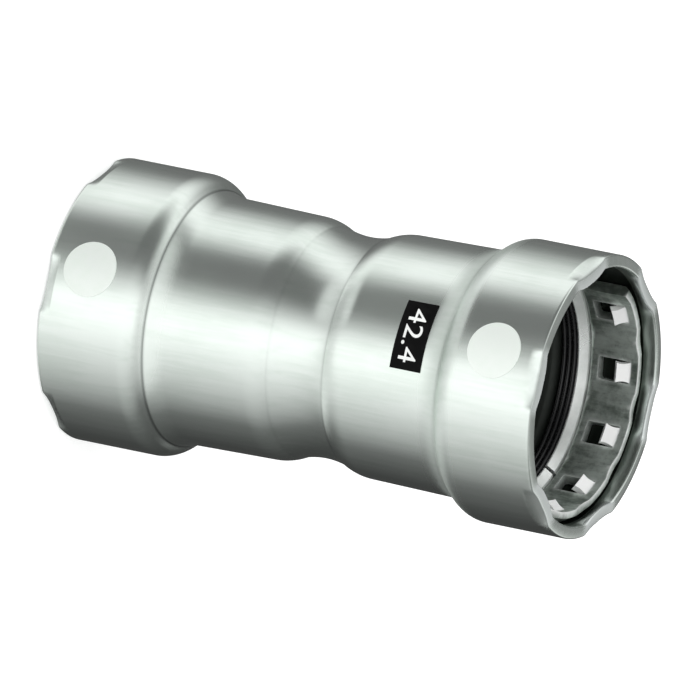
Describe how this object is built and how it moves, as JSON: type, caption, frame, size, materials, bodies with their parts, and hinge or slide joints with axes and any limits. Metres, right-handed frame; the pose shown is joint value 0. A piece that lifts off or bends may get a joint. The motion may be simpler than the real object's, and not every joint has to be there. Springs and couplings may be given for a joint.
{
  "type": "press fit fitting",
  "caption": "Straight press coupling for steel pipe: formed tube with a waist as pipe stop and a collar at each end holding a seal, a separator and a toothed grip ring.",
  "frame": {"origin": "middle of the coupling, on its axis", "axes": "+Z along the pipe axis towards the end with the label, the control dots face roughly -Y"},
  "size_m": [0.056, 0.0562, 0.1084],
  "materials": {
    "plated_steel": "satin plated",
    "stainless_band": "satin",
    "stainless_sheet": "bright rolled",
    "seal_rubber": "smooth moulded",
    "dot_paint": "thin matt film",
    "label_ink": "printed ink"
  },
  "bodies": {
    "root": {"coupling_body": "plated_steel", "grip_ring_top": "stainless_band", "grip_ring_bottom": "stainless_band", "separator_ring_top": "stainless_sheet", "separator_ring_bottom": "stainless_sheet", "seal_ring_top": "seal_rubber", "seal_ring_bottom": "seal_rubber", "control_dot_top": "dot_paint", "control_dot_bottom": "dot_paint", "size_label": "label_ink"}
  },
  "joints": []
}
